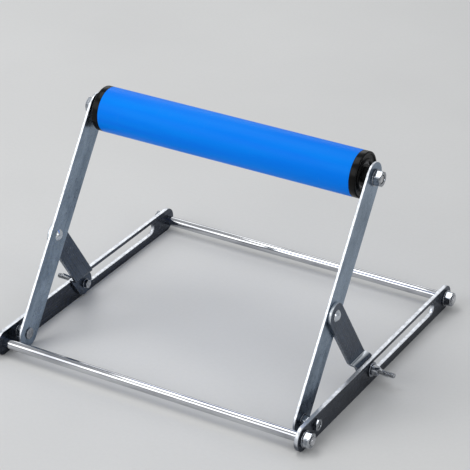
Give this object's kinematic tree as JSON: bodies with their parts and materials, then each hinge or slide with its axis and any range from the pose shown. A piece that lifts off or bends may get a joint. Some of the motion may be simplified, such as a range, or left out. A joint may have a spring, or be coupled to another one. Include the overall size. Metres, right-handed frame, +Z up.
{
  "type": "roller stand",
  "caption": "Low folding roller stand: slotted side rails joined by round rods, hinged uprights with clamped braces, and a free-spinning roller that carries pipe or long stock.",
  "frame": {"origin": "on the floor, at the middle of the footprint between the rails and between the rods", "axes": "+X along the roller to the right side, +Y from the pivot rod to the rear rod, +Z up"},
  "size_m": [0.4586, 0.39, 0.2755],
  "materials": {
    "rail_steel": "bright zinc plate",
    "bar_steel": "bright zinc plate",
    "brace_steel": "bright zinc plate",
    "rod_chrome": "polished chrome",
    "washer_zinc": "zinc plate",
    "fastener_zinc": "zinc plate",
    "rivet_steel": "satin",
    "axle_steel": "turned",
    "bearing_steel": "ground",
    "tube_steel": "drawn",
    "sleeve_blue": "satin gloss",
    "cap_black": "satin"
  },
  "bodies": {
    "base": {"left_rail": "rail_steel", "right_rail": "rail_steel", "front_rod": "rod_chrome", "rear_rod": "rod_chrome", "rod_washers": "washer_zinc", "rod_nuts": "fastener_zinc", "pivot_bolts": "fastener_zinc", "pivot_washers": "washer_zinc", "pivot_spacers": "fastener_zinc", "pivot_nuts": "fastener_zinc"},
    "swing_frame": {"left_upright": "bar_steel", "right_upright": "bar_steel", "brace_rivets": "rivet_steel", "axle": "axle_steel", "axle_spacers": "axle_steel", "axle_seat_washers": "washer_zinc", "axle_washers": "washer_zinc", "axle_nuts": "fastener_zinc", "bearing_inner_rings": "bearing_steel"},
    "left_brace_arm": {"left_brace": "brace_steel", "left_clamp_bolt": "fastener_zinc", "left_clamp_washers": "washer_zinc"},
    "right_brace_arm": {"right_brace": "brace_steel", "right_clamp_bolt": "fastener_zinc", "right_clamp_washers": "washer_zinc"},
    "left_wing": {"left_wing_nut": "fastener_zinc"},
    "right_wing": {"right_wing_nut": "fastener_zinc"},
    "roller": {"roller_tube": "tube_steel", "roller_sleeve": "sleeve_blue", "left_end_cap": "cap_black", "right_end_cap": "cap_black", "bearing_outer_rings": "bearing_steel", "bearing_balls": "bearing_steel", "bearing_shields": "bearing_steel"}
  },
  "joints": [
    {"name": "fold", "type": "hinge", "parent": "base", "child": "swing_frame", "pos_m": [0, -0.1525, 0.018], "axis": [1, 0, 0], "range_deg": [-51, 0]},
    {"name": "left_brace_swing", "type": "hinge", "parent": "swing_frame", "child": "left_brace_arm", "pos_m": [-0.185, -0.0854, 0.11749], "axis": [1, 0, 0], "range_deg": [0, 102]},
    {"name": "right_brace_swing", "type": "hinge", "parent": "swing_frame", "child": "right_brace_arm", "pos_m": [0.185, -0.0854, 0.11749], "axis": [1, 0, 0], "range_deg": [0, 102]},
    {"name": "left_wing_turn", "type": "hinge", "parent": "left_brace_arm", "child": "left_wing", "pos_m": [-0.21, -0.01829, 0.018], "axis": [1, 0, 0], "continuous": true},
    {"name": "right_wing_turn", "type": "hinge", "parent": "right_brace_arm", "child": "right_wing", "pos_m": [0.21, -0.01829, 0.018], "axis": [1, 0, 0], "continuous": true},
    {"name": "roller_spin", "type": "hinge", "parent": "swing_frame", "child": "roller", "pos_m": [0, 0.00296, 0.24847], "axis": [1, 0, 0], "continuous": true}
  ],
  "couplings": [
    {"joint": "left_brace_swing", "follows": "fold", "ratio": -2},
    {"joint": "right_brace_swing", "follows": "fold", "ratio": -2}
  ]
}
